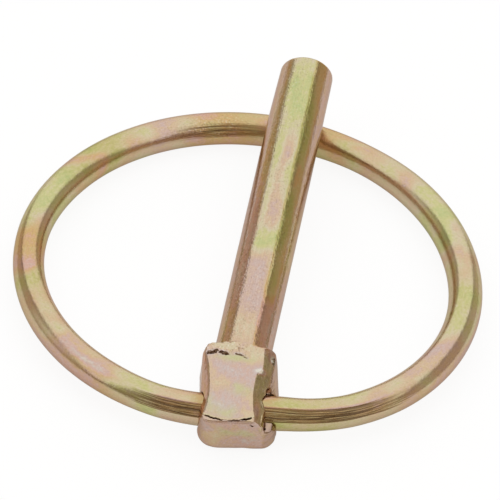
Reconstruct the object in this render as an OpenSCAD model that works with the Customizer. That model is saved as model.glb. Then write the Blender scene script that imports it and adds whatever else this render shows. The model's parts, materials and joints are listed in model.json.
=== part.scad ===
// Lynch pin: a forged pin with an oblong hole through its head, and a wire ring
// that swings in the hole and closes over the pin's far end.
// It lies as it rests on a table: the head's back edge and the ring's far side
// touch z = 0, and the shank lies on the ring. +X runs along the hole's axis,
// +Y from the head to the tip. Millimetres.

/* [Shank] */
// Diameter of the shank
shank_d = 6; // [5:0.1:7]
// Sideways lean of the shank from the head's own centre line, in degrees
shank_lean = 7; // [0:0.1:9]
// Where the shank's centre line crosses the hole's axis
shank_shift = -1.1; // [-2:0.05:0]
// How far the tip reaches past the ring's wire
tip_past = 4.5; // [3:0.1:8]
// Length of the slightly tapered end
lead_len = 8.2; // [6:0.1:12]
// Loss of radius along the tapered end
lead_drop = 0.06; // [0.02:0.01:0.2]
// Chamfer around the tip
tip_chamfer = 0.35; // [0.1:0.05:1]

/* [Head] */
// Width of the head, along the hole
head_w = 8.3; // [7.6:0.05:10]
// Sideways shift of the head's middle from the ring's middle
head_shift = -0.06; // [-0.5:0.02:0.5]
// Thickness of the head, from its front face to its back face
head_t = 5.4; // [5:0.1:6]
// From the hole's axis to the head's end face
head_end = 3.3; // [3:0.1:5]
// From the hole's axis to the shoulder, along the shank
shoulder_dist = 7.1; // [6:0.05:10]
// Corner radius at the end face, seen from the front
end_corner_r = 2.6; // [0.5:0.1:3]
// Corner radius at the shoulder, seen from the front
shoulder_corner_r = 2; // [0.3:0.1:2.2]
// Radius of the edge between the end face and the back face
back_edge_r = 0.95; // [0.3:0.05:1.5]
// Radius of the long edges between the sides and the back face
back_side_r = 1.6; // [0.3:0.1:2]
// Sideways taper of the right side towards the shoulder, in degrees
flank_taper = 6.5; // [0:0.5:8]
// Height above the hole's axis where that taper starts
flank_start = 2.8; // [2:0.1:4]
// Length over which the shank's round foot fades into the head's faces
runout = 1.3; // [0.3:0.1:2]

/* [Worn edges of the head's front] */
// Width of the front face's flat at the waist, right of the head's middle
waist_right = 1.35; // [0.8:0.05:2.5]
// Width of the front face's flat at the waist, left of the head's middle
waist_left = 3.5; // [2.5:0.05:3.9]
// Slope of the hollow along the right edge, in degrees from the front face
hollow_slope = 38; // [30:1:45]
// Height of the hollow's deepest point above the hole's axis
hollow_rise = 0.8; // [0:0.1:3]
// Radius of the hollow along the right edge
hollow_r = 27; // [15:1:60]
// Slope of the bevel along the left edge, in degrees from the front face
bevel_slope = 60; // [45:1:70]
// Height of the bevel's deepest point above the hole's axis
bevel_rise = 1.2; // [0:0.1:3]
// Radius of the bevel along the left edge
bevel_r = 18; // [12:0.5:60]
// Slope of the right side below the hollow, in degrees from the front face
cheek_slope = 50; // [45:1:65]
// Narrowing of the right side towards the end face, in degrees
cheek_narrowing = 6.5; // [0:1:10]
// Depth below the front face at which the right side turns straight back
cheek_depth = 3; // [2.5:0.1:3.5]

/* [Ring] */
// Inside diameter of the ring's round part
ring_id = 42.8; // [38:0.1:48]
// Diameter of the ring's wire
wire_d = 3.5; // [3:0.1:3.8]
// Straight stretch of each wire end, from the ring's middle; the ring's near
// half is this much tighter than its far half
end_run = 2.4; // [1.5:0.1:4]
// Gap between the two wire ends inside the head
end_gap = 1; // [0.5:0.1:2]
// Chamfer on each wire end
end_chamfer = 0.3; // [0.1:0.05:0.6]

/* [Fits] */
// Gap around the wire in the hole
hole_gap = 0.2; // [0.15:0.05:0.4]
// Extra length of the oblong hole, towards the shank
hole_extra = 0.75; // [0.1:0.05:1]
// Gap between the shank and the closed ring
stop_gap = 0.05; // [0.03:0.01:0.1]

/* [Hidden] */
$fn = 96;

// How deep the small end of the shank's foot lies below the head's faces.
foot_sink = 0.1;

shank_r = shank_d / 2;
wire_r = wire_d / 2;
half_t = head_t / 2;
head_right = head_shift + head_w / 2;
head_left = head_shift - head_w / 2;

// The ring's centre line, with the hole's axis along X through the origin: two
// straight ends, a quarter turn beside each, and half a turn over the far side.
far_r = ring_id / 2 + wire_r;
near_r = far_r - end_run;
ring_reach = near_r + far_r;

// Where the shank crosses the ring's far side: x = shank_shift + y * tan(lean)
// meets the circle of radius far_r about y = near_r.
lean_k = tan(shank_lean);
cross_b = near_r - shank_shift * lean_k;
cross_c = shank_shift * shank_shift + near_r * near_r - far_r * far_r;
cross_y = (cross_b + sqrt(cross_b * cross_b - (1 + lean_k * lean_k) * cross_c))
    / (1 + lean_k * lean_k);
cross_dist = cross_y / cos(shank_lean);
tip_dist = cross_dist + tip_past;
lead_dist = tip_dist - lead_len;
tip_r = shank_r - lead_drop;
foot_r = min(shank_r, half_t) - foot_sink;
cross_shank_r = shank_r
    - lead_drop * max(0, min(1, (cross_dist - lead_dist) / lead_len));

// Angle between the ring and the pin when the ring is closed on the shank.
closed_angle = asin((cross_shank_r + wire_r + stop_gap) / cross_y);

// The ring's slope when the head's rounded back edge and the ring's far side
// both touch the table: lie_y * sin(slope) + lie_z * cos(slope) = lie_drop.
edge_y = head_end - back_edge_r;
edge_z = half_t - back_edge_r;
lie_y = edge_y * cos(closed_angle) - edge_z * sin(closed_angle) + ring_reach;
lie_z = edge_y * sin(closed_angle) + edge_z * cos(closed_angle);
lie_drop = wire_r - back_edge_r;
ring_slope = asin(lie_drop / sqrt(lie_y * lie_y + lie_z * lie_z)) - atan2(lie_z, lie_y);
pin_slope = ring_slope + closed_angle;
axis_height = wire_r - ring_reach * sin(ring_slope);

// The origin is under the middle of the whole part.
low_y = -head_end * cos(pin_slope) - half_t * sin(pin_slope);
tip_y = tip_dist * cos(shank_lean) * cos(pin_slope)
    + (tip_r - tip_chamfer) * (sin(shank_lean) + sin(pin_slope));
high_y = max(tip_y, ring_reach * cos(ring_slope) + wire_r);
axis_y = -(low_y + high_y) / 2;

hole_r = wire_r + hole_gap;
plenty = 4 * head_w;

// Puts a child from the hole's own frame onto the table at a slope.
module laid(slope) {
    translate([0, axis_y, axis_height]) rotate([slope, 0, 0]) children();
}

// Turns a child whose +Z runs along the shank into the head's frame.
module along_shank(distance) {
    translate([shank_shift, 0, 0]) rotate([0, 0, -shank_lean])
        translate([0, distance, 0]) rotate([-90, 0, 0]) children();
}

// A flat outline with one corner radius at y = 0 and another at y = long.
module soft_outline(wide, long, low_r, high_r) {
    union() {
        translate([low_r, 0]) square([wide - 2 * low_r, long / 2]);
        translate([0, low_r]) square([wide, long - low_r - high_r]);
        translate([high_r, long / 2]) square([wide - 2 * high_r, long / 2]);
        for (x = [low_r, wide - low_r]) translate([x, low_r]) circle(low_r);
        for (x = [high_r, wide - high_r]) translate([x, long - high_r]) circle(high_r);
    }
}

// The head seen from the front; its shoulder is square to the shank.
module head_front_form() {
    long = head_end + shoulder_dist;
    intersection() {
        translate([head_left, -head_end, -half_t])
            linear_extrude(head_t)
                soft_outline(head_w, long + head_w * lean_k / 2, end_corner_r, shoulder_corner_r);
        translate([shank_shift, 0, 0]) rotate([0, 0, -shank_lean])
            translate([-plenty / 2, shoulder_dist - plenty, -plenty / 2])
                cube([plenty, plenty, plenty]);
    }
}

// The head seen from the side, with its rounded back edge.
module head_side_form() {
    translate([-plenty / 2, 0, 0]) rotate([90, 0, 90]) linear_extrude(plenty)
        union() {
            translate([-head_end, back_edge_r - half_t]) square([plenty, head_t - back_edge_r]);
            translate([back_edge_r - head_end, -half_t]) square([plenty, head_t]);
            translate([back_edge_r - head_end, back_edge_r - half_t]) circle(back_edge_r);
        }
}

// The head seen from its end, with its rounded back corners.
module head_end_form() {
    translate([0, plenty / 2, 0]) rotate([90, 0, 0]) linear_extrude(plenty)
        union() {
            translate([head_left, back_side_r - half_t]) square([head_w, head_t - back_side_r]);
            translate([head_left + back_side_r, -half_t])
                square([head_w - 2 * back_side_r, head_t]);
            for (x = [head_left + back_side_r, head_right - back_side_r])
                translate([x, back_side_r - half_t]) circle(back_side_r);
        }
}

// A large cylinder that hollows a long edge of the front face. It cuts deepest
// at height y, where its edge on the front face stands at x.
module edge_hollow(x, y, slope, radius) {
    translate([x, y, half_t]) rotate([0, slope, 0]) translate([-plenty / 2, 0, radius])
        rotate([0, 90, 0]) cylinder(r = radius, h = plenty, $fn = 240);
}

// Everything right of the right side's sloping cheek.
module cheek_cut() {
    translate([head_right, 0, half_t - cheek_depth]) rotate([0, 0, -cheek_narrowing])
        rotate([0, cheek_slope - 90, 0]) translate([0, -plenty, -plenty])
            cube([plenty, 2 * plenty, 2 * plenty]);
}

// What the right side's taper takes off beside the shoulder.
module flank_cut() {
    translate([head_right, flank_start, -plenty / 2]) rotate([0, 0, flank_taper])
        cube([plenty, plenty, plenty]);
}

module head() {
    difference() {
        intersection() {
            head_front_form();
            head_side_form();
            head_end_form();
        }
        edge_hollow(head_shift + waist_right, hollow_rise, hollow_slope, hollow_r);
        edge_hollow(head_shift - waist_left, bevel_rise, -bevel_slope, bevel_r);
        cheek_cut();
        flank_cut();
    }
}

// One turned form: the foot's cone, the round shank, its tapered end and the tip.
module shank() {
    profile = [
        [0, shoulder_dist - runout],
        [foot_r, shoulder_dist - runout],
        [shank_r, shoulder_dist],
        [shank_r, lead_dist],
        [tip_r, tip_dist - tip_chamfer],
        [tip_r - tip_chamfer, tip_dist],
        [0, tip_dist]
    ];
    along_shank(0) rotate_extrude() polygon(profile);
}

// The oblong hole; its lower end is round about the ring's own axis.
module hole() {
    translate([-plenty / 2, 0, 0]) rotate([90, 0, 90]) linear_extrude(plenty)
        union() {
            circle(hole_r);
            translate([0, -hole_r]) square([hole_extra, 2 * hole_r]);
            translate([hole_extra, 0]) circle(hole_r);
        }
}

module pin() {
    color([0.76, 0.66, 0.48]) laid(pin_slope) difference() {
        union() {
            head();
            shank();
        }
        hole();
    }
}

// One of the two straight wire ends, from its chamfer to the bend.
module wire_end() {
    start = end_gap / 2;
    translate([start, 0, 0]) rotate([0, 90, 0]) {
        cylinder(r1 = wire_r - end_chamfer, r2 = wire_r, h = end_chamfer);
        translate([0, 0, end_chamfer]) cylinder(r = wire_r, h = end_run - start - end_chamfer);
    }
}

// The quarter turn beside a straight end.
module near_bend() {
    translate([end_run, near_r, 0]) rotate([0, 0, -90])
        rotate_extrude(angle = 90) translate([near_r, 0]) circle(wire_r);
}

// The half turn over the far side.
module far_bend() {
    translate([0, near_r, 0])
        rotate_extrude(angle = 180) translate([far_r, 0]) circle(wire_r);
}

module ring() {
    color([0.78, 0.68, 0.45]) laid(ring_slope) union() {
        far_bend();
        for (side = [0, 1]) mirror([side, 0, 0]) {
            near_bend();
            wire_end();
        }
    }
}

pin();
ring();
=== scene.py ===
"""Looks of the lynch pin: a forged pin and its wire ring, in yellow zinc plating.

The pin's form is a distance field, so that its worn edges, dents and folds are
real geometry in one closed mesh. The ring is swept along its centre line.
Lengths in this script are millimetres; the meshes are scaled to metres.
"""

import json
import math

import bpy
import numpy as np
from mathutils import Matrix, Vector


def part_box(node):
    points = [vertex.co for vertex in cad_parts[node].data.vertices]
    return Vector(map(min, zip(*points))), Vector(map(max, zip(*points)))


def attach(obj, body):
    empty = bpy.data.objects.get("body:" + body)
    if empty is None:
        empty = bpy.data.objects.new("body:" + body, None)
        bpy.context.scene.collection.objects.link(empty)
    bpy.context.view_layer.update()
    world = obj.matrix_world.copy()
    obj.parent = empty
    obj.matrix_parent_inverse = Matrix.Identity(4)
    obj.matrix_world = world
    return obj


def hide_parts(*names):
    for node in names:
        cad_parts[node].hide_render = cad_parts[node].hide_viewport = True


# A millimetre in metres.
MM = 0.001

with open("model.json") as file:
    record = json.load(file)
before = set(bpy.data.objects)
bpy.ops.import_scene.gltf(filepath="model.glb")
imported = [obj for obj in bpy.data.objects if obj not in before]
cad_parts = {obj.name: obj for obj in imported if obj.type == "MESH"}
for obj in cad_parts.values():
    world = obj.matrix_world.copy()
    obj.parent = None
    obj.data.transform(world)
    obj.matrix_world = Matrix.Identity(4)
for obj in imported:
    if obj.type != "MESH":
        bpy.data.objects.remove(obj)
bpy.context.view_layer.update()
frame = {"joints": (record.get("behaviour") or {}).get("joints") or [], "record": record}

# Sizes that come from the frame.
HINGE = frame["joints"][0]
MOUNTS = {mount["name"]: mount for mount in frame["record"]["mounts"]}
AXIS_POINT = np.array(HINGE["pos_m"]) / MM
SHANK_AXIS = np.array(MOUNTS["shank"]["axis"])
SHANK_R = MOUNTS["shank"]["dims"]["r_mm"]
SHANK_MIDDLE = np.array(MOUNTS["shank"]["pos_m"]) / MM
WALL_LENGTH = MOUNTS["shank"]["dims"]["length_mm"]
PIN_SLOPE = math.atan2(SHANK_AXIS[2], SHANK_AXIS[1])
LEAN = math.asin(SHANK_AXIS[0])


def turned(points, angle):
    """Points turned about the X axis."""
    c, s = math.cos(angle), math.sin(angle)
    x, y, z = points.T
    return np.stack([x, c * y - s * z, s * y + c * z], axis=1)


def head_to_frame(points):
    """From the head's frame (X along the hole, Y to the shank, Z out of the front face)."""
    return turned(points, PIN_SLOPE) + AXIS_POINT


# The shank's centre line in the head's frame: a point on it, and the distances along it.
middle = turned((SHANK_MIDDLE - AXIS_POINT)[None], -PIN_SLOPE)[0]
SHANK_SHIFT = middle[0] - middle[1] * math.tan(LEAN)
MIDDLE_DISTANCE = middle[1] / math.cos(LEAN)
SHOULDER = MIDDLE_DISTANCE - WALL_LENGTH / 2
LEAD_START = MIDDLE_DISTANCE + WALL_LENGTH / 2

# The ring: a half circle of FAR_R, two quarter circles of NEAR_R and two straight ends.
ring_low, ring_high = (np.array(corner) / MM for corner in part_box("ring"))
WIRE_R = 1.75
FAR_R = (ring_high[0] - ring_low[0]) / 2 - WIRE_R
REACH = math.hypot(ring_high[1] - WIRE_R - AXIS_POINT[1], AXIS_POINT[2] - WIRE_R)
NEAR_R = REACH - FAR_R
END_RUN = FAR_R - NEAR_R
RING_SLOPE = math.asin((WIRE_R - AXIS_POINT[2]) / REACH)
END_GAP = 1.0
END_CHAMFER = 0.3
# About how far the ends are from the middle of the far side, along the wire.
HALF_WIRE = 70.8

# The shank: its taper to the tip, how much slimmer than SHANK_R it is, and its foot.
LEAD_LENGTH = 8.2
LEAD_DROP = 0.06
TIP = LEAD_START + LEAD_LENGTH
TIP_EDGE = 0.43
SLIMMER = 0.035
FOOT_TOP = 7.0
FOOT_END = 2.0

# The head, from the middle of its hole.
HALF_THICK = 2.7
HEAD_LEFT = 4.22
HEAD_RIGHT = 4.1
HEAD_END = 3.2
RIDGE_Z = 1.9
SHELF_Z = 0.05
FOLD_Y = -3.28
HOLE_GAP = 0.2
HOLE_R = WIRE_R + HOLE_GAP


# ---------------------------------------------------------------- forms

def meet(a, b, radius):
    """The space inside both forms, with their shared edge rounded."""
    corner = np.hypot(np.maximum(radius + a, 0), np.maximum(radius + b, 0))
    return np.minimum(-radius, np.maximum(a, b)) + corner


def join(a, b, radius):
    """The space inside either form, with a fillet between them."""
    corner = np.hypot(np.maximum(radius - a, 0), np.maximum(radius - b, 0))
    return np.maximum(radius, np.minimum(a, b)) - corner


def waves(x, y, z, size, seed):
    """A smooth uneven field between about -1 and 1 that changes over size millimetres."""
    total = 0
    for step in range(4):
        turn = seed + 2.4 * step
        k = 2 * math.pi / (size * (0.8 + 0.23 * step))
        a, b, c = math.cos(turn), math.sin(turn), math.cos(1.7 * turn + 1)
        total = total + np.sin(k * (a * x + b * y + c * z) + 5 * turn)
    return total / 3


def smooth_step(value, low, high):
    """0 below low, 1 above high, and smooth between."""
    t = np.clip((value - low) / (high - low), 0, 1)
    return t * t * (3 - 2 * t)


def along_shank(x, y):
    """(across, along) of the shank for points in the head's frame."""
    c, s = math.cos(LEAN), math.sin(LEAN)
    across = (x - SHANK_SHIFT) * c - y * s
    along = (x - SHANK_SHIFT) * s + y * c
    return across, along


def shank_form(x, y, z):
    """The shank, with its foot drawn in below the front face."""
    across, along = along_shank(x, y)
    lead = np.clip((along - LEAD_START) / LEAD_LENGTH, 0, 1)
    foot = smooth_step(FOOT_TOP - along, 0, 0.6)
    worn = 0.007 * waves(across, z, 0.4 * along, 1.7, 3.0)
    slim = SLIMMER + 0.06 * lead
    side = np.hypot(across - slim, z) - (SHANK_R - slim - LEAD_DROP * lead - 0.7 * foot) + worn
    tipped = meet(side, along - TIP + 0.5 * worn, TIP_EDGE)
    return meet(tipped, FOOT_END - along, 0.1)


def gouge(x, y, z, place, size, turn=0.0):
    """A small sunk ellipsoid: negative inside. Its place and size are (x, y, z)."""
    c, s = math.cos(turn), math.sin(turn)
    dx, dy, dz = x - place[0], y - place[1], z - place[2]
    px, py = (c * dx + s * dy) / size[0], (c * dy - s * dx) / size[1]
    return (np.sqrt(px * px + py * py + (dz / size[2]) ** 2) - 1) * min(size)


def scratch(x, y, z, start, end, radius):
    """A round groove between two points: negative inside."""
    points = np.stack([x, y, z], axis=-1) - np.array(start)
    way = np.array(end) - np.array(start)
    t = np.clip(points @ way / (way @ way), 0, 1)
    return np.linalg.norm(points - t[..., None] * way, axis=-1) - radius


def bump(value, middle, width):
    """1 at the middle, fading to 0 over the width on both sides."""
    return np.exp(-(((value - middle) / width) ** 2))


def band_line(x):
    """Where the rolled band along the top of the front face begins."""
    return 5.58 + 0.14 * np.sin(1.9 * (x + 2.0))


def fold_line(x):
    """The fold along the lower edge of the front face."""
    return FOLD_Y + 0.085 * (x + 1.5) ** 2


def left_edge(y):
    """The left edge of the front face, drawn in at its middle."""
    return -3.45 - np.where(y > 0.5, 0.022, 0.045) * (y - 0.5) ** 2


def right_edge(y):
    """The right edge of the front face, with the step of its worn spot."""
    return 1.1 + 0.035 * np.minimum((y - 0.6) ** 2, 16) + 0.35 * smooth_step(y, 3.2, 4.2)


def ridge_line(y):
    """How far right the facet beside the front face reaches, at the height RIDGE_Z."""
    return 2.47 + 0.165 * np.maximum(y - 1, 0) - 0.085 * np.maximum(-1 - y, 0)


def right_cuts(x, y, z):
    """What is cut off the head's right side: positive in the metal that is gone.

    A facet falls away from the front face to a ridge, and a cheek from the ridge to
    the side. Beside the hole the cheek is notched, down to a shelf."""
    facet_foot, notch_top, wall_foot = 1.2, 2.0, 2.78
    edge, ridge = right_edge(y), ridge_line(y)
    slope = (ridge - edge) / (HALF_THICK - RIDGE_Z)
    facet = (x - edge - slope * (HALF_THICK - z)) / np.sqrt(1 + slope**2)
    slope = 0.88 - 0.07 * y
    cheek = (x - ridge - slope * (RIDGE_Z - z)) / np.sqrt(1 + slope**2)
    wall = ridge + (wall_foot - ridge) * (RIDGE_Z - z) / (RIDGE_Z - SHELF_Z) - x
    shelf = SHELF_Z + 0.72 * smooth_step(-y, 1.0, 1.5) * (1 - smooth_step(x, 3.3, 3.9))
    notch = meet(meet(wall, shelf - z, 0.2), y - notch_top, 0.3)
    return np.minimum(facet, z - facet_foot), cheek, -notch


def left_cut(x, y, z):
    """The bevel beside the front face on the left: positive in the metal that is gone."""
    slope = math.radians(60)
    return (left_edge(y) - x) * math.sin(slope) + (z - HALF_THICK) * math.cos(slope)


def head_form(x, y, z):
    """The hammered head without its hole: rough faces, met with edges of their own radii."""
    corner = smooth_step(y, 5.4, 6.0) * (1 - smooth_step(x, -1.0, 0.6))
    rough = 0.02 * waves(x, y, z, 3.1, 0.4) + 0.008 * waves(x, y, z, 1.1, 2.0)
    rough = rough + 0.04 * corner * waves(x, y, z, 0.6, 1.3)
    above = y - band_line(x)
    band = smooth_step(above, -0.05, 0.15) * (1 - smooth_step(x, -0.2, 1.2))
    across = along_shank(x, y)[0]
    foot = 0.3 * bump(across, 0, 1.7) * smooth_step(y, 5.9, 6.95)
    foot = foot + 0.04 * bump(y - fold_line(x), 0.16, 0.12)
    front = z - HALF_THICK - 0.06 * band - foot + 0.03 * np.clip(above, 0, 2) ** 2 + rough
    back = -z - HALF_THICK + rough
    left = -x - HEAD_LEFT - 0.005 * (y - 1) ** 2 + rough
    right = x - HEAD_RIGHT + 0.114 * np.maximum(y - 2.8, 0) + 0.1 * np.maximum(-y, 0) + rough
    shoulder = y - SHOULDER - 0.2 * bump(x, -1.9, 1.6) + rough
    lip = 0.1 * smooth_step(z, 2.2, 2.6)
    end = -HEAD_END + 0.095 * x - lip - y + rough
    corners = [
        meet(left, end, 1.95 - 0.18 * z),
        meet(right, end, 1.3),
        meet(left, shoulder, 1.8),
        meet(right, shoulder, 1.2),
    ]
    body = meet(np.max(corners, axis=0), back, 1.4)
    body = meet(body, meet(front, shoulder, 0.4), 0.15)
    facet, cheek, notch = right_cuts(x, y, z)
    low = smooth_step(-y, 1.9, 2.8)
    body = meet(body, meet(right, cheek, 0.6), 0.12)
    body = meet(body, facet + rough, 0.1 + 0.3 * low)
    body = meet(body, notch + rough, 0.1 + 0.25 * low)
    return meet(body, left_cut(x, y, z) + rough, 0.25)


def hole_form(x, y, z):
    """Negative inside the hole: tight at its left mouth, and set to the shank at its right.

    It fits the strayed wire at rest and at the ring's limits. Between them the wire cuts
    into the right mouth."""
    wide = smooth_step(x, -1.0, 3.0)
    tight = 1 - smooth_step(x, -3.6, -1.5)
    off_middle = y - np.clip(y, 0.32 * wide, 0.36 * wide + 0.04)
    bore = np.hypot(off_middle, z) - (HOLE_R - 0.12 * tight)
    chipped = gouge(x, y, z, (2.88, 1.74, 1.45), (0.5, 0.6, 0.6))
    return np.minimum(bore, chipped)


def fold_depth(x):
    """How open the fold is along its length, from 0 to 1."""
    left = 0.55 * smooth_step(x, -3.85, -3.4) * (1 - smooth_step(x, -2.2, -1.7))
    middle = 0.3 * smooth_step(x, -1.4, -1.1) * (1 - smooth_step(x, -0.2, 0.1))
    right = smooth_step(x, 0.0, 0.35) * (1 - smooth_step(x, 1.0, 1.25))
    return left + middle + right


def head_marks(x, y, z):
    """The pits, the fold and the marks on the head: negative inside them."""
    ragged = 0.05 * waves(x, y, z, 0.5, 5.0) + 0.05 * waves(x, y, z, 0.26, 2.2)
    opened = fold_depth(x)
    line = y - fold_line(x) - 0.03 * np.sin(7 * x) - 0.02 * np.sin(17 * x + 1)
    fold = np.hypot(line / (0.03 + 0.07 * opened), (z - HALF_THICK - 0.02) / (0.03 + 0.3 * opened))
    fold = np.maximum((fold - 1) * 0.06, np.abs(x + 1.35) - 2.55)
    pits = [
        gouge(x, y, z, (-3.4, 5.6, 2.8), (0.5, 0.2, 0.35), 0.3),
        gouge(x, y, z, (-3.0, 5.84, 2.8), (0.25, 0.2, 0.35), 0.9),
        gouge(x, y, z, (-2.45, 5.74, 2.82), (0.24, 0.16, 0.35), 0.5),
        gouge(x, y, z, (-2.05, 5.64, 2.8), (0.4, 0.22, 0.4), -0.25),
        gouge(x, y, z, (1.05, -3.2, 2.0), (0.12, 0.2, 0.07)),
        gouge(x, y, z, (1.3, -3.1, 1.85), (0.1, 0.2, 0.06)),
        gouge(x, y, z, (2.6, -2.45, 0.6), (0.16, 0.2, 0.25)),
    ]
    lines = [
        scratch(x, y, z, (-0.9, 5.66, HALF_THICK), (-0.3, 5.58, HALF_THICK), 0.07),
        scratch(x, y, z, (-0.3, 5.58, HALF_THICK), (0.24, 5.27, HALF_THICK), 0.06),
        scratch(x, y, z, (3.12, 5.6, 2.02), (3.05, 3.2, 1.62), 0.07),
    ]
    marks = np.minimum(np.min(pits, axis=0) + ragged, np.min(lines, axis=0) + 0.4 * ragged)
    return np.minimum(fold, marks)


def pin_form(x, y, z):
    """The whole pin: negative inside. It has a raised rim by the hole's right mouth and a
    raised bead on the ridge below, and two worn hollows."""
    hole = hole_form(x, y, z)
    rim = 0.08 * bump(hole, 0.16, 0.12) * smooth_step(x, 1.7, 2.2) * smooth_step(-y, -0.6, 0.4)
    bead = 0.1 * bump(x - ridge_line(y), -0.1, 0.1) * smooth_step(-y, 1.2, 1.8)
    rim += bead * smooth_step(z, 0.8, 1.2)
    worn = gouge(x, y, z, (1.75, 3.75, 2.85), (0.5, 0.5, 0.25), 0.3)
    chip = gouge(x, y, z, (2.98, 5.75, 1.85), (0.35, 0.45, 0.22))
    metal = join(head_form(x, y, z) - rim, shank_form(x, y, z), 0.2)
    metal = meet(metal, -hole, 0.15)
    metal = meet(metal, -worn, 0.15)
    metal = meet(metal, -chip, 0.06)
    return meet(metal, -head_marks(x, y, z), 0.04)


# ---------------------------------------------------------------- meshing

def surface_net(field, axes):
    """Points and quads on the zero surface of a field, given on a grid with these axes."""
    inside = field < 0
    corners = sum(
        inside[i : i - 1 or None, j : j - 1 or None, k : k - 1 or None].astype(np.int8)
        for i in (0, 1)
        for j in (0, 1)
        for k in (0, 1)
    )
    mixed = (corners > 0) & (corners < 8)
    cells = np.argwhere(mixed)
    ids = np.full(mixed.shape, -1)
    ids[mixed] = np.arange(len(cells))
    total, hits = np.zeros((len(cells), 3)), np.zeros(len(cells))
    quads = []
    for axis in range(3):
        b, c = (axis + 1) % 3, (axis + 2) % 3
        unit = np.eye(3, dtype=int)[axis]
        for off_b in (0, 1):
            for off_c in (0, 1):
                low = cells.copy()
                low[:, b] += off_b
                low[:, c] += off_c
                f0, f1 = field[tuple(low.T)], field[tuple((low + unit).T)]
                cross = (f0 < 0) != (f1 < 0)
                at = np.stack([axes[n][low[:, n]] for n in range(3)], axis=1)[cross]
                step = axes[axis][low[cross, axis] + 1] - at[:, axis]
                at[:, axis] += step * f0[cross] / (f0[cross] - f1[cross])
                total[cross] += at
                hits[cross] += 1
        low_side = np.take(inside, range(inside.shape[axis] - 1), axis)
        high_side = np.take(inside, range(1, inside.shape[axis]), axis)
        edges = np.argwhere(low_side != high_side)
        outward = low_side[tuple(edges.T)]
        around = []
        for off_b, off_c in ((-1, -1), (0, -1), (0, 0), (-1, 0)):
            cell = edges.copy()
            cell[:, b] += off_b
            cell[:, c] += off_c
            around.append(ids[tuple(cell.T)])
        quad = np.stack(around, axis=1)
        quad[~outward] = quad[~outward][:, ::-1]
        quads.append(quad)
    return total / hits[:, None], np.concatenate(quads)


def gradient(form, points, step=0.02):
    """The form's slope at each point."""
    parts = []
    for axis in range(3):
        shift = step * np.eye(3)[axis]
        high, low = form(*(points + shift).T), form(*(points - shift).T)
        parts.append((high - low) / (2 * step))
    return np.stack(parts, axis=1)


def settle(form, points, quads, rounds):
    """Evens out the mesh along the surface and puts every point exactly on it."""
    starts, ends = quads.ravel(), np.roll(quads, -1, axis=1).ravel()
    links = np.bincount(starts, minlength=len(points)) + np.bincount(ends, minlength=len(points))
    for _ in range(rounds):
        mean = np.stack(
            [
                np.bincount(starts, points[ends, n], len(points))
                + np.bincount(ends, points[starts, n], len(points))
                for n in range(3)
            ],
            axis=1,
        )
        mean /= links[:, None]
        slope = gradient(form, points)
        length2 = np.maximum((slope**2).sum(axis=1), 0.05)[:, None]
        pull = mean - points
        pull -= slope * (pull * slope).sum(axis=1)[:, None] / length2
        points = points + 0.5 * pull
        slope = gradient(form, points)
        length2 = np.maximum((slope**2).sum(axis=1), 0.05)[:, None]
        points = points - np.clip(form(*points.T), -0.1, 0.1)[:, None] * slope / length2
    return points


def make_object(name, points, faces, normals=None):
    """A smooth mesh object from points in millimetres in the part's frame."""
    mesh = bpy.data.meshes.new(name)
    mesh.from_pydata((points * MM).tolist(), [], faces)
    mesh.shade_smooth()
    if normals is not None:
        mesh.normals_split_custom_set_from_vertices(normals.tolist())
    mesh.update()
    piece = bpy.data.objects.new(name, mesh)
    bpy.context.scene.collection.objects.link(piece)
    return piece


def shank_frame_to_head(points):
    """From (across, along, up) of the shank to the head's frame."""
    across, along, up = points.T
    c, s = math.cos(LEAN), math.sin(LEAN)
    return np.stack([SHANK_SHIFT + across * c + along * s, along * c - across * s, up], axis=1)


def graded(stops):
    """Grid values from the first stop to the last. Each stop is (place, step after it)."""
    parts = []
    for (low, step), (high, _) in zip(stops[:-1], stops[1:]):
        count = max(1, round((high - low) / step))
        parts.append(np.linspace(low, high, count, endpoint=False))
    return np.concatenate(parts + [[stops[-1][0]]])


def make_pin():
    """The pin, and its points and normals in the head's frame for the plating."""
    coarse, fine = 0.09, 0.06
    across = graded([(-4.9, coarse), (6.3, 0)])
    up = graded([(-3.4, coarse), (2.3, fine), (3.0, coarse), (3.4, 0)])
    # Fine at the head's end and at its shoulder, long and plain along the shank.
    along = graded(
        [
            (-4.8, coarse),
            (-4.0, fine),
            (-2.8, coarse),
            (5.2, fine),
            (6.4, coarse),
            (SHOULDER + 1.2, 0.5),
            (TIP - 1.2, 0.12),
            (TIP + 0.4, 0),
        ]
    )
    grid = np.meshgrid(across, along, up, indexing="ij")
    flat = np.stack([part.ravel() for part in grid], axis=1)
    field = pin_form(*shank_frame_to_head(flat).T).reshape(grid[0].shape)
    points, quads = surface_net(field, (across, along, up))
    points = settle(pin_form, shank_frame_to_head(points), quads, rounds=8)
    normals = gradient(pin_form, points)
    normals /= np.linalg.norm(normals, axis=1)[:, None]
    placed = head_to_frame(points)
    piece = make_object("plated_pin", placed, quads.tolist(), turned(normals, PIN_SLOPE))
    return piece, points, normals


# ---------------------------------------------------------------- ring

def ring_line(step):
    """The ring's centre line from one wire end to the other: points and directions."""
    quarter = math.pi / 2
    straight = END_RUN - END_GAP / 2
    # Arcs as (middle's x, radius, first angle, angle turned); the right wire end comes first.
    arcs = [
        (END_RUN, NEAR_R, -quarter, quarter),
        (0, FAR_R, 0, math.pi),
        (-END_RUN, NEAR_R, math.pi, quarter),
    ]
    count = max(3, round(straight / step))
    points = [(END_GAP / 2 + n / count * straight, 0) for n in range(count)]
    ways = [0] * count
    for middle_x, radius, first, sweep in arcs:
        steps = max(3, round(radius * sweep / step))
        for n in range(steps):
            a = first + n / steps * sweep
            points.append((middle_x + radius * math.cos(a), NEAR_R + radius * math.sin(a)))
            ways.append(a + quarter)
    points += [(-END_RUN + n / count * straight, 0) for n in range(count + 1)]
    ways += [4 * quarter] * (count + 1)
    return np.array(points), np.array(ways)


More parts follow.
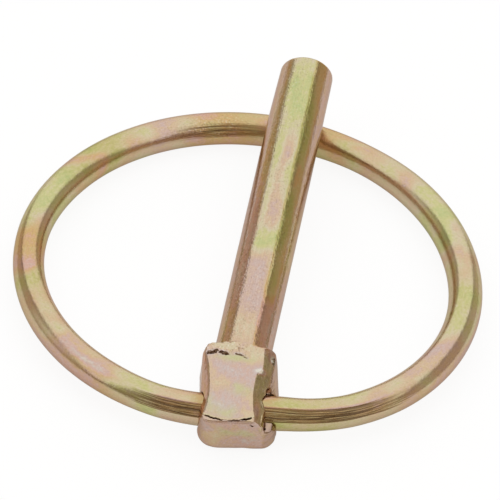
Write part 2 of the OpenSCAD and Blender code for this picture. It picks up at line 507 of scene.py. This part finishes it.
# How far the wire strays inward, as (place along the wire, distance); negative is outward.
# Places are counted from the middle of the far side, negative to the right.
STRAY = [
    (-71, 0.4), (-68.2, 0.43), (-66.6, 0.42), (-65.4, 0.28), (-62.3, 0.0), (-60, -0.15),
    (-54, -0.2), (-44, -0.08), (-30, 0.05), (-18, 0.0), (6, 0.16), (14, 0.2),
    (23, 0.14), (32, -0.04), (57, -0.06), (63, -0.16), (67, -0.02), (71, 0.1),
]


def strayed(place):
    """How far the wire strays inward, and how much thicker it is, at places along it."""
    inward = np.interp(place, *zip(*STRAY))
    window = np.hanning(9)
    inward = np.convolve(np.pad(inward, len(window) // 2, "edge"), window / window.sum(), "valid")
    thinner = 0.05 * bump(place, -62, 5) + 0.05 * bump(place, 62, 4) + 0.1 * bump(place, 38, 9)
    thinner += 0.11 * bump(place, -12, 6) - 0.06 * bump(place, -32, 8)
    thinner -= 0.08 * bump(place, -68.5, 3)
    return inward, -thinner


def make_ring():
    """The ring, and the angle round the wire and distance along it of each point."""
    sides = 112
    line, ways = ring_line(0.35)
    steps = np.hypot(*np.diff(line, axis=0).T)
    along = np.concatenate([[0], np.cumsum(steps)])
    # The wire isn't quite true: it sits askew in the hole and strays from the plain curve.
    inward, thicker = strayed(along - along[-1] / 2)
    line = line + inward[:, None] * np.stack([-np.sin(ways), np.cos(ways)], axis=1)
    # Chamfered ends: the first and last sections shrink and close with a cap.
    radius = WIRE_R + thicker
    end = np.minimum(along, along[-1] - along)
    radius -= END_CHAMFER * np.clip(1 - end / END_CHAMFER, 0, 1)
    around = np.arange(sides) * 2 * math.pi / sides
    out = np.stack([np.sin(ways), -np.cos(ways)], axis=1)
    points = np.zeros((len(line), sides, 3))
    outward = radius[:, None, None] * np.cos(around)[None, :, None] * out[:, None]
    points[:, :, :2] = line[:, None] + outward
    points[:, :, 2] = radius[:, None] * np.sin(around)[None]
    rows = np.arange(len(line) - 1)[:, None] * sides
    cols = np.arange(sides)[None]
    nxt = (cols + 1) % sides
    quads = np.stack([rows + cols, rows + sides + cols, rows + sides + nxt, rows + nxt], axis=2)
    points = points.reshape(-1, 3)
    faces = quads.reshape(-1, 4).tolist()
    faces.append(list(range(sides)))
    faces.append([len(points) - 1 - n for n in range(sides)])
    piece = make_object("plated_ring", turned(points, RING_SLOPE) + AXIS_POINT, faces)
    angle = np.broadcast_to(around, (len(line), sides)).ravel()
    distance = np.repeat(along - along[-1] / 2, sides)
    return piece, angle, distance


# ---------------------------------------------------------------- node trees

class Graph:
    """Short calls for building a node tree."""

    def __init__(self, tree):
        self.tree = tree
        tree.nodes.clear()

    def add(self, kind, **settings):
        """A new node with these settings."""
        node = self.tree.nodes.new(kind)
        for name, value in settings.items():
            setattr(node, name, value)
        return node

    def plug(self, socket, value):
        """Sets a socket, or links it when the value is another node's output."""
        if isinstance(value, bpy.types.NodeSocket):
            self.tree.links.new(value, socket)
        else:
            socket.default_value = value

    def math(self, operation, *values):
        """One step of arithmetic on values or other nodes' outputs."""
        node = self.add("ShaderNodeMath", operation=operation)
        for socket, value in zip(node.inputs, values):
            self.plug(socket, value)
        return node.outputs[0]

    def span(self, value, low, high, start=0.0, end=1.0, kind="SMOOTHSTEP"):
        """start below low, end above high, and a gradual change between them."""
        node = self.add("ShaderNodeMapRange", interpolation_type=kind)
        names = ("Value", "From Min", "From Max", "To Min", "To Max")
        for name, number in zip(names, (value, low, high, start, end)):
            self.plug(node.inputs[name], number)
        return node.outputs[0]

    def mix(self, factor, first, second):
        """A colour between two others."""
        node = self.add("ShaderNodeMix", data_type="RGBA")
        # The Mix node has sockets for every kind of data. Input 0 is the plain factor, and
        # inputs 6 and 7 and output 2 are the colours.
        for socket, value in zip((0, 6, 7), (factor, first, second)):
            self.plug(node.inputs[socket], value)
        return node.outputs[2]

    def ramp(self, value, stops):
        """A colour ramp of (position, colour) stops."""
        node = self.add("ShaderNodeValToRGB")
        band = node.color_ramp
        while len(band.elements) < len(stops):
            band.elements.new(0.5)
        for element, (position, colour) in zip(band.elements, stops):
            element.position = position
            element.color = (*colour, 1)
        self.plug(node.inputs[0], value)
        return node.outputs[0]

    def attribute(self, name, output="Fac"):
        """Numbers that are stored on the mesh."""
        return self.add("ShaderNodeAttribute", attribute_name=name).outputs[output]

    def noise(self, place, size, stretch=(1, 1, 1), detail=2.0, roughness=0.5):
        """Noise around 0.5 whose patches are about size across, in the units of place."""
        scaled = self.add("ShaderNodeMapping")
        self.plug(scaled.inputs["Vector"], place)
        scaled.inputs["Scale"].default_value = [1 / (size * s) for s in stretch]
        node = self.add("ShaderNodeTexNoise")
        self.plug(node.inputs["Vector"], scaled.outputs[0])
        node.inputs["Scale"].default_value = 1.0
        node.inputs["Detail"].default_value = detail
        node.inputs["Roughness"].default_value = roughness
        return node.outputs["Fac"]


# ---------------------------------------------------------------- plating

# The film's colours by its thickness, from bare to thick, and the deeper ones of the
# places where it is densest; the deeper ones also colour painted shade and painted dark reflections.
# Linear RGB.
PALE_FILM = [
    (0.00, (0.74, 0.70, 0.61)),
    (0.12, (0.60, 0.49, 0.45)),
    (0.25, (0.62, 0.45, 0.38)),
    (0.40, (0.66, 0.49, 0.33)),
    (0.55, (0.66, 0.57, 0.39)),
    (0.72, (0.61, 0.58, 0.28)),
    (0.88, (0.50, 0.55, 0.25)),
    (1.00, (0.55, 0.60, 0.36)),
]
DEEP_FILM_AND_SHADE = [
    (0.00, (0.62, 0.52, 0.38)),
    (0.25, (0.66, 0.40, 0.31)),
    (0.42, (0.63, 0.42, 0.19)),
    (0.60, (0.59, 0.48, 0.23)),
    (0.78, (0.49, 0.46, 0.16)),
    (1.00, (0.42, 0.46, 0.17)),
]
GREEN_FILM = (0.57, 0.56, 0.29, 1)
DARK_SPECK = (0.3, 0.23, 0.14, 1)
LIGHT_SPECK = (0.8, 0.75, 0.66, 1)
# Dark grime, also the colour of painted shade.
GRIME_AND_SHADE = (0.16, 0.10, 0.06, 1)
EDGE_TINT = (0.78, 0.7, 0.64, 1)


def blob(u, v, place, size):
    """1 at a place on a surface, fading to 0 over size."""
    return np.exp(-(((u - place[0]) / size[0]) ** 2) - ((v - place[1]) / size[1]) ** 2)


def painted(base, u, v, patches):
    """A base value changed at patches of (u, v, size in u, size in v, new value)."""
    value = np.zeros(len(u)) + base
    for pu, pv, su, sv, target in patches:
        value += (target - value) * np.minimum(1.4 * blob(u, v, (pu, pv), (su, sv)), 1)
    return value


def store(piece, name, values):
    """Keeps one number a point, or three, on a mesh for its material."""
    kind = "FLOAT_VECTOR" if values.ndim == 2 else "FLOAT"
    attribute = piece.data.attributes.new(name, kind, "POINT")
    field = "vector" if values.ndim == 2 else "value"
    attribute.data.foreach_set(field, values.astype(np.float32).ravel())


def plate_shank(angle, along):
    """Film and depth on the shank, by the angle to the right of its front line and the
    distance along it. The depth also holds painted dark reflections in a band each side of the
    front line, and painted shade towards the shank's sides."""
    film = painted(
        0.30,
        angle,
        along,
        [
            (-10, 9.5, 40, 2.2, 0.52),
            (0, 15.5, 30, 3.5, 0.22),
            (-8, 22.0, 34, 2.0, 0.84),
            (-26, 27.0, 14, 5.0, 0.66),
            (4, 26.5, 16, 3.5, 0.30),
            (14, 31.0, 12, 3.0, 0.62),
            (0, 34.5, 12, 1.2, 0.14),
            (-22, 35.0, 14, 3.5, 0.70),
            (0, 43.0, 40, 5.5, 0.76),
            (32, 11.0, 14, 2.5, 0.22),
            (32, 17.0, 14, 3.0, 0.66),
            (32, 25.0, 14, 5.0, 0.82),
            (32, 36.0, 14, 7.0, 0.84),
            (34, 31.5, 8, 1.8, 0.46),
            (38, 45.5, 10, 2.5, 0.50),
            (-40, 10.5, 12, 2.0, 0.38),
            (-40, 22.0, 12, 9.0, 0.20),
            (-40, 34.0, 12, 5.0, 0.55),
            (-66, 30.0, 20, 14.0, 0.24),
            (62, 12.0, 16, 6.0, 0.22),
            (62, 24.0, 16, 5.0, 0.46),
            (62, 38.0, 16, 8.0, 0.26),
        ],
    )
    # Painted dark reflections: deeper film in a band each side of the front line (right, left). Painted
    # shade: deeper film towards the sides (edge).
    wander = 1.5 * np.sin(1.1 * along) + 1.2 * np.sin(2.7 * along + 1)
    right = smooth_step(angle, 16 + 0.4 * wander, 20 + 0.4 * wander)
    right *= 1 - smooth_step(angle, 42 + wander, 54 + wander)
    narrow = 7 * smooth_step(along, 33, 40)
    left = smooth_step(-angle, 27 + narrow / 2, 32 + narrow / 2)
    left *= 1 - smooth_step(-angle, 44 - narrow + wander, 54 - narrow + wander)
    behind = smooth_step(np.abs(angle), 95, 130)
    patchy = 0.5 + 0.5 * waves(angle / 12, along, 0 * along, 9.0, 1.0)
    edge = 0.4 * smooth_step(np.abs(angle), 48, 58)
    deep = np.maximum(np.maximum(right, 0.85 * left), np.maximum(behind * patchy, edge))
    film = film + behind * 0.3 * waves(angle / 15, along, 0 * along, 6.0, 4.0)
    return film, deep


def plate_head(points, normals):
    """The head's film, and the depth, grime, painted shade, green and specks on it, by place and by
    face.
    """
    x, y, z = points.T
    wander = 0.5 * waves(x, y, z, 2.4, 7.0) + 0.25 * waves(x, y, z, 0.9, 2.5)
    u, v = x + wander, y - 0.7 * wander
    film = painted(
        0.24,
        u,
        v,
        [
            (1.2, 5.6, 1.1, 1.2, 0.50),
            (-2.6, 1.8, 1.1, 1.1, 0.42),
            (-3.5, 3.9, 0.5, 1.6, 0.38),
            (-0.8, 3.4, 1.3, 0.8, 0.14),
            (-2.0, -1.2, 1.3, 0.8, 0.14),
            (1.0, -1.2, 0.5, 2.2, 0.44),
            (-1.6, 6.8, 2.2, 0.7, 0.5),
        ],
    )
    green = 0.95 * blob(u, v, (-0.9, 5.15), (1.9, 0.5)) + 0.8 * blob(u, v, (0.0, 0.9), (1.1, 0.7))
    green += 0.85 * blob(u, v, (-1.4, -2.2), (1.2, 0.9)) + 0.6 * blob(u, v, (-3.3, -1.3), (0.6, 1.4))
    end = smooth_step(-normals[:, 1], 0.4, 0.8)
    low = painted(
        0.28,
        u,
        z - 0.7 * wander,
        [
            (-3.7, 1.0, 0.7, 1.2, 0.16),
            (-2.6, -0.2, 1.1, 1.0, 0.44),
            (0.9, 2.0, 0.6, 0.4, 0.24),
            (1.5, -0.8, 0.9, 0.5, 0.18),
        ],
    )
    slant = z - 0.7 * wander - 1.0 + 0.22 * (x + 1.5)
    low_green = 0.75 * bump(slant, 0, 0.55) * smooth_step(x, -2.8, -1.4) * (1 - smooth_step(x, 1.2, 2.2))
    film = film + (low - film) * end
    green = green + (low_green - green) * end
    lips = bump(y - fold_line(x), 0.17, 0.09) * smooth_step(z, 2.4, 2.6)
    film = film + (0.52 - film) * lips
    worn = np.minimum(1.3 * blob(x, y, (1.75, 3.75), (0.55, 0.4)), 1)
    # Painted shade: the facet, the cheek below it and the left bevel get deeper film, and the facet and
    # cheek grime; the block below the hole's right mouth is darker too.
    beside = smooth_step(x - right_edge(y), 0.0, 0.15) * (1 - end)
    facet = beside * smooth_step(z, 1.5, 2.0)
    top = smooth_step(y, 5.5, 6.3)
    film = film + ((0.62 - 0.3 * top) - film) * facet
    film = film + (0.14 - film) * facet * blob(x, y, (1.6, -1.4), (0.35, 1.2))
    film = film + (0.28 - film) * (beside - facet)
    bead = bump(x - ridge_line(y), -0.1, 0.14) * smooth_step(-y, 1.2, 1.8) * smooth_step(z, 0.8, 1.2)
    film = film + (0.5 - film) * bead
    bevel = smooth_step(left_edge(y) - x, 0.0, 0.15) * (1 - end)
    film = film + (0.27 - film) * bevel
    chip = np.minimum(1.6 * blob(x, y, (3.0, 5.75), (0.3, 0.45)), 1) * smooth_step(z, 1.4, 1.7)
    film = film + (-0.05 - film) * np.maximum(worn, chip)
    block = smooth_step(x, 2.45, 2.7) * (1 - smooth_step(y, -1.5, -1.2))
    film = film + (0.3 - film) * block
    green *= (1 - beside) * (1 - bevel) * (1 - worn)
    deep = 0.1 + 0.45 * facet + 0.1 * (beside - facet) + 0.6 * bevel + 0.3 * end + 0.1 * block
    deep += 0.15 * waves(x, y, z, 4.0, 2.0)
    grime_and_shade = 0.28 * facet * (1 - 0.7 * top) + 0.14 * (beside - facet) + 0.2 * block
    grime_and_shade *= 1 + 0.6 * waves(x, 0.4 * y, z, 0.8, 3.0)
    grime_and_shade += 0.5 * blob(x, y, (2.6, 6.0), (0.2, 0.5)) * smooth_step(z, 1.7, 2.0)
    grime_and_shade *= (1 - np.maximum(worn, chip)) * (1 - bead)
    band = smooth_step(y - band_line(x), -0.1, 0.3) * smooth_step(z, 2.0, 2.6)
    band *= 1 - 0.7 * smooth_step(x, -0.6, 0.6)
    speckled = 0.3 + 0.7 * band + 0.5 * facet + 0.2 * end
    parts = {"film": film, "deep": deep, "grime_and_shade": grime_and_shade, "green": green, "speckled": speckled}
    lowest = {"film": -0.1}
    return {name: np.clip(values, lowest.get(name, 0), 1) for name, values in parts.items()}


def plate_pin(piece, points, normals):
    """Stores what the pin's material reads: film, depth, grime, painted shade, specks, marks and places.
    """
    x, y, z = points.T
    across, along = along_shank(x, y)
    angle = np.degrees(np.arctan2(across, z))
    shank_film, shank_deep = plate_shank(angle, along)
    patchy = 0.5 + 0.5 * waves(across, 0.5 * along, z, 3.0, 6.0)
    tip_face = smooth_step(normals @ [math.sin(LEAN), math.cos(LEAN), 0], 0.5, 0.9)
    tip_film = 0.45 + 0.2 * waves(across, z, 0 * z, 4.0, 3.0)
    shank_film = shank_film + (tip_film - shank_film) * tip_face
    shank_deep = shank_deep + (0.4 - shank_deep) * tip_face
    shank = {"film": shank_film, "deep": shank_deep, "speckled": 0.15 + 0.55 * patchy}
    shank["speckled"] += 0.7 * bump(angle, -36, 9) * (1 - patchy * 0.5)
    on_shank = smooth_step(along, SHOULDER - 0.1, SHOULDER + 0.1)
    field = head_marks(x, y, z)
    marks = smooth_step(-field, -0.05, 0.02)
    fold = np.clip(2 - 4 * np.abs(y - fold_line(x)), 0, 1) * smooth_step(z, 2.0, 2.4)
    marks *= 0.75 + 0.25 * fold
    # Painted shade: dark inside the hole and in the chipped hollow by its right mouth.
    hole = 1 - smooth_step(hole_form(x, y, z), 0.0, 0.12)
    bore = 0.4 * hole * (1 - smooth_step(x, 0.5, 2.0))
    chipped = np.minimum(2 * blob(y, z, (1.9, 1.55), (0.5, 0.45)), 1) * smooth_step(x, 2.2, 2.5)
    bore += 0.8 * hole * chipped
    lips = bump(field, 0.1, 0.06) * smooth_step(y, 4.5, 5) * smooth_step(z, 2.5, 2.7)
    for name, values in plate_head(points, normals).items():
        if name == "film":
            values = values + (-0.05 - values) * 0.6 * lips
        if name == "grime_and_shade":
            values = np.maximum(np.maximum(marks, bore), values * (1 - on_shank))
        else:
            values = values + (shank.get(name, 0) - values) * on_shank
        store(piece, name, values)
    store(piece, "drawn", 0.06 * on_shank)
    store(piece, "place", np.stack([across, z, along], axis=1))


# The film's thickness along the ring, as (place along the wire, thickness). Places are
# counted as in STRAY.
RING_FILM = [
    (-71, 0.3), (-69, 0.34), (-67.7, 0.6), (-65.5, 0.74), (-61, 0.62), (-58, 0.50),
    (-54.5, 0.36), (-51, 0.58), (-48.5, 0.26), (-46, 0.45), (-42, 0.70), (-37, 0.68),
    (-33, 0.44), (-31, 0.40), (-28.5, 0.78), (-25.5, 0.86), (-22, 0.62), (-18.5, 0.42),
    (-16, 0.54), (-13.7, 0.36), (-11.5, 0.70), (-8.5, 0.40), (0, 0.46), (3, 0.48),
    (6.5, 0.34), (9, 0.32), (11.5, 0.2), (13.5, 0.36), (15.5, 0.66), (18, 0.88),
    (20.5, 0.34), (23.5, 0.70), (28, 0.80), (32, 0.70), (35.5, 0.38), (38.5, 0.28),
    (41, 0.72), (43.5, 0.50), (46, 0.34), (49, 0.56), (51.5, 0.30), (57, 0.50),
    (60, 0.74), (63.5, 0.80), (66, 0.42), (71, 0.50),
]


def plate_ring(piece, angle, distance):
    """Stores what the ring's material reads, by the angle round the wire and the distance."""
    around = np.degrees(angle)
    around = np.where(around > 270, around - 360, around)
    across, up = np.cos(angle), np.sin(angle)
    warp = 2.6 * waves(distance, 3 * across, 3 * up, 7.0, 2.2)
    film = 0.5 + 0.72 * (np.interp(distance + warp, *zip(*RING_FILM)) - 0.5)
    film += 0.14 * waves(distance, 3 * across, 3 * up, 5.0, 0.3)
    low = (1 - smooth_step(around, 5, 35)) * (bump(distance, -43, 9) + bump(distance, 53, 6))
    film += (0.25 - film) * low
    # Painted highlight: bare, pale film on a patch on the ring's left side.
    painted_highlight = blob(distance, around, (54.5, 62), (3.2, 12))
    film += (0.0 - film) * 0.8 * painted_highlight
    deep = 0.35 + 0.3 * waves(distance, 2 * across, 2 * up, 17.0, 4.0)
    # Deeper film either side of where the shank crosses the ring, as painted shade and reflection of the
    # shank, and at an orange spot.
    deep += 0.5 * bump(distance, -8, 4) + 0.6 * bump(distance, 4, 4) + 0.5 * bump(distance, 35, 2)
    from_end = HALF_WIRE - np.abs(distance)
    deep += 0.5 * (1 - smooth_step(from_end, 2, 4))
    # Drawn marks where the wire was gripped, with a painted dark reflection of the head over them,
    # further along it on the right than on the left.
    on_left = distance > 0
    near = 1 - smooth_step(from_end, np.where(on_left, 6, 11), np.where(on_left, 12, 19))
    gripped_and_head_reflection = near * smooth_step(around, 12, 19) * (1 - smooth_step(around, 54, 64))
    film += (0.42 - film) * 0.7 * gripped_and_head_reflection
    deep += 0.5 * gripped_and_head_reflection
    # Painted highlight: a pale line along the wire near its ends, above the gripped marks.
    film += (0.0 - film) * 0.6 * near * bump(around, 63, 4)
    # Darker, deeper film and grime on the wire by its left end.
    dull = smooth_step(distance, 65.5, 68) * smooth_step(around, 40, 50)
    film += (0.40 - film) * dull
    store(piece, "film", film)
    store(piece, "deep", np.clip(deep + 0.6 * dull, 0, 1))
    store(piece, "green", 0 * film)
    store(piece, "speckled", 0.3 + 0.7 * blob(distance, around, (5, 135), (3.5, 40)))
    rubbed = blob(distance, around, (4.5, 145), (4.5, 22))
    # Darker at the wire's ends inside the head's hole.
    mouth = 1 - smooth_step(from_end, 2.0, 3.5)
    store(piece, "grime_and_shade", np.maximum(0.12 * mouth + 0.25 * dull, 0.3 * gripped_and_head_reflection))
    store(piece, "drawn", np.maximum(gripped_and_head_reflection, 0.8 * rubbed))
    store(piece, "place", np.stack([WIRE_R * across, WIRE_R * up, distance], axis=1))


def plating(name, grain, dull):
    """Yellow zinc plating: a film whose colour wanders, over fine grain and drawn lines."""
    material = bpy.data.materials.new(name)
    material.use_nodes = True
    g = Graph(material.node_tree)
    place = g.attribute("place", "Vector")
    drawn = g.attribute("drawn")
    broad = g.noise(place, 2.4, (0.5, 0.5, 1), 2)
    fine = g.noise(place, 0.34, (1, 1, 1.6), 2)
    lines = g.noise(place, 0.2, (1, 1, 40), 2, 0.6)
    speck = g.noise(place, 0.19, (1, 1, 1.3), 2, 0.6)
    speckled = g.attribute("speckled")
    film = g.math("MULTIPLY_ADD", g.math("SUBTRACT", broad, 0.5), 0.35, g.attribute("film"))
    film = g.math("MULTIPLY_ADD", g.math("SUBTRACT", fine, 0.5), 0.3, film)
    deep = g.math("MULTIPLY_ADD", g.math("SUBTRACT", fine, 0.5), 0.5, g.attribute("deep"))
    colour = g.mix(g.span(deep, 0.1, 0.9), g.ramp(film, PALE_FILM), g.ramp(film, DEEP_FILM_AND_SHADE))
    green = g.math("MULTIPLY", g.span(fine, 0.2, 0.7, 0.8, 1.0), g.attribute("green"))
    colour = g.mix(green, colour, GREEN_FILM)
    dark = g.math("MULTIPLY", g.span(speck, 0.55, 0.7, 0.0, 0.6), speckled)
    light = g.math("MULTIPLY", g.span(speck, 0.45, 0.3, 0.0, 0.5), speckled)
    colour = g.mix(dark, colour, DARK_SPECK)
    colour = g.mix(light, colour, LIGHT_SPECK)
    streaks = g.math("MULTIPLY", g.span(lines, 0.45, 0.55, 0.0, 0.95), drawn)
    # Grime and painted shade, and the drawn lines, darken the colour.
    grime_and_shade = g.math("MAXIMUM", g.attribute("grime_and_shade"), streaks)
    colour = g.mix(g.math("MULTIPLY", grime_and_shade, 0.9), colour, GRIME_AND_SHADE)
    shader = g.add("ShaderNodeBsdfPrincipled")
    shader.inputs["Metallic"].default_value = 1.0
    shader.inputs["Specular Tint"].default_value = EDGE_TINT
    g.plug(shader.inputs["Base Color"], colour)
    g.plug(shader.inputs["Roughness"], g.span(fine, 0.3, 0.8, dull, dull + 0.1))
    height = g.math("MULTIPLY", fine, grain)
    height = g.math("MULTIPLY_ADD", g.math("MULTIPLY", speck, speckled), -0.03, height)
    height = g.math("MULTIPLY_ADD", g.math("MULTIPLY", lines, drawn), -0.16, height)
    bump_map = g.add("ShaderNodeBump")
    bump_map.inputs["Distance"].default_value = MM
    g.plug(bump_map.inputs["Height"], height)
    g.plug(shader.inputs["Normal"], bump_map.outputs[0])
    out = g.add("ShaderNodeOutputMaterial")
    g.plug(out.inputs["Surface"], shader.outputs[0])
    return material


# ---------------------------------------------------------------- studio

def make_camera():
    """The camera at the photograph's viewing angle, with a long lens."""
    azimuth, elevation, roll = (math.radians(a) for a in (-2.76, 44.63, -7.36))
    distance = 754.5
    aim = Vector((0.06, 1.57, 3.0))
    level_way = math.cos(elevation)
    back = Vector(
        (math.sin(azimuth) * level_way, -math.cos(azimuth) * level_way, math.sin(elevation))
    )
    data = bpy.data.cameras.new("camera")
    data.lens = 513
    data.sensor_width = 36
    data.clip_start, data.clip_end = 0.01, 10
    camera = bpy.data.objects.new("camera", data)
    bpy.context.scene.collection.objects.link(camera)
    camera.rotation_mode = "QUATERNION"
    level = (-back).to_track_quat("-Z", "Y")
    camera.rotation_quaternion = level @ Matrix.Rotation(-roll, 3, "Z").to_quaternion()
    camera.location = (aim + distance * back) * MM
    bpy.context.scene.camera = camera


WHITE = (1, 1, 1, 1)
FRONT_WALL = (0.27, 0.205, 0.14, 1)
SIDE_WALL = (0.48, 0.405, 0.33, 1)
BACK_WALL = (0.64, 0.56, 0.47, 1)
BOX_FRAME = (0.06, 0.045, 0.03, 1)


def make_world():
    """A white softbox overhead that reaches down behind, and warm dimmer surroundings."""
    world = bpy.data.worlds.new("studio")
    bpy.context.scene.world = world
    world.use_nodes = True
    g = Graph(world.node_tree)
    split = g.add("ShaderNodeSeparateXYZ")
    g.plug(split.inputs[0], g.add("ShaderNodeTexCoord").outputs["Generated"])
    x, y, z = split.outputs
    # Each direction by its tilt from straight up, in degrees, to the right and to the back.
    tilt = g.math("DEGREES", g.math("ARCCOSINE", z))
    level = g.math("SQRT", g.math("MULTIPLY_ADD", x, x, g.math("MULTIPLY", y, y)))
    scale = g.math("DIVIDE", tilt, g.math("MAXIMUM", level, 0.001))
    right = g.math("MULTIPLY", x, scale)
    behind = g.math("MULTIPLY", y, scale)

    # The softbox narrows towards the back, widens again low behind, and ends at the
    # photographer in front.
    right_side = g.span(behind, -15, 45, 57, 35, "LINEAR")
    right_side = g.math("ADD", right_side, g.span(behind, 55, 95, 0, 16, "LINEAR"))
    left_side = g.span(behind, -35, 28, 70, 41, "LINEAR")
    front_side = g.span(g.math("ABSOLUTE", right), 0, 58, -12, -46, "LINEAR")
    # How far inside the softbox's edge, in degrees: negative outside it.
    depth = g.math("MINIMUM", g.math("SUBTRACT", right_side, right), g.math("ADD", left_side, right))
    depth = g.math("MINIMUM", depth, g.math("SUBTRACT", behind, front_side))
    box = g.span(depth, -2, 2)
    walls = g.mix(g.span(behind, -75, -35), FRONT_WALL, SIDE_WALL)
    walls = g.mix(g.span(behind, 35, 75), walls, BACK_WALL)
    walls = g.mix(g.span(depth, -13, -4, 1.0, 0.62), BOX_FRAME, walls)
    # A dimmer pale patch low on the left.
    patch = g.span(g.math("ABSOLUTE", g.math("ADD", right, 68)), 0, 22, 0.5, 0)
    patch = g.math("MULTIPLY", patch, g.span(g.math("ABSOLUTE", behind), 5, 30, 1, 0))
    room = g.mix(g.math("MAXIMUM", box, patch), walls, WHITE)
    seen = g.add("ShaderNodeLightPath").outputs["Is Camera Ray"]
    background = g.add("ShaderNodeBackground")
    g.plug(background.inputs["Color"], g.mix(seen, room, WHITE))
    out = g.add("ShaderNodeOutputWorld")
    g.plug(out.inputs["Surface"], background.outputs[0])


def make_floor():
    """A white gloss table, plain white to the camera, that keeps the shadow."""
    half = 600 * MM
    mesh = bpy.data.meshes.new("floor")
    corners = [(-half, -half, 0), (half, -half, 0), (half, half, 0), (-half, half, 0)]
    mesh.from_pydata(corners, [], [(0, 1, 2, 3)])
    floor = bpy.data.objects.new("floor", mesh)
    bpy.context.scene.collection.objects.link(floor)
    material = bpy.data.materials.new("floor")
    material.use_nodes = True
    g = Graph(material.node_tree)
    diffuse = g.add("ShaderNodeBsdfDiffuse")
    diffuse.inputs["Color"].default_value = (0.9, 0.9, 0.9, 1)
    glow = g.add("ShaderNodeEmission")
    glow.inputs["Strength"].default_value = 1.06
    gloss = g.add("ShaderNodeBsdfGlossy")
    gloss.inputs["Roughness"].default_value = 0.1
    ray = g.add("ShaderNodeLightPath")
    low = g.span(g.add("ShaderNodeLayerWeight").outputs["Facing"], 0.89, 0.965)
    glossy = ray.outputs["Is Glossy Ray"]
    table = g.add("ShaderNodeMixShader")
    g.plug(table.inputs[0], g.math("MULTIPLY", low, glossy))
    g.plug(table.inputs[1], diffuse.outputs[0])
    g.plug(table.inputs[2], gloss.outputs[0])
    white = g.math("MULTIPLY_ADD", glossy, 0.35, g.math("MULTIPLY", ray.outputs["Is Camera Ray"], 0.85))
    white = g.math("MULTIPLY", white, g.math("SUBTRACT", 1.0, g.math("MULTIPLY", low, glossy)))
    mix = g.add("ShaderNodeMixShader")
    g.plug(mix.inputs[0], white)
    g.plug(mix.inputs[1], table.outputs[0])
    g.plug(mix.inputs[2], glow.outputs[0])
    out = g.add("ShaderNodeOutputMaterial")
    g.plug(out.inputs["Surface"], mix.outputs[0])
    mesh.materials.append(material)


def main():
    scene = bpy.context.scene
    scene.view_settings.view_transform = "Standard"
    make_camera()
    make_world()
    make_floor()
    pin, points, normals = make_pin()
    plate_pin(pin, points, normals)
    pin.data.materials.append(plating("pin_plating", 0.02, 0.1))
    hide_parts("pin")
    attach(pin, "pin")
    ring, angle, distance = make_ring()
    plate_ring(ring, angle, distance)
    ring.data.materials.append(plating("ring_plating", 0.008, 0.17))
    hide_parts("ring")
    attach(ring, "ring")


main()
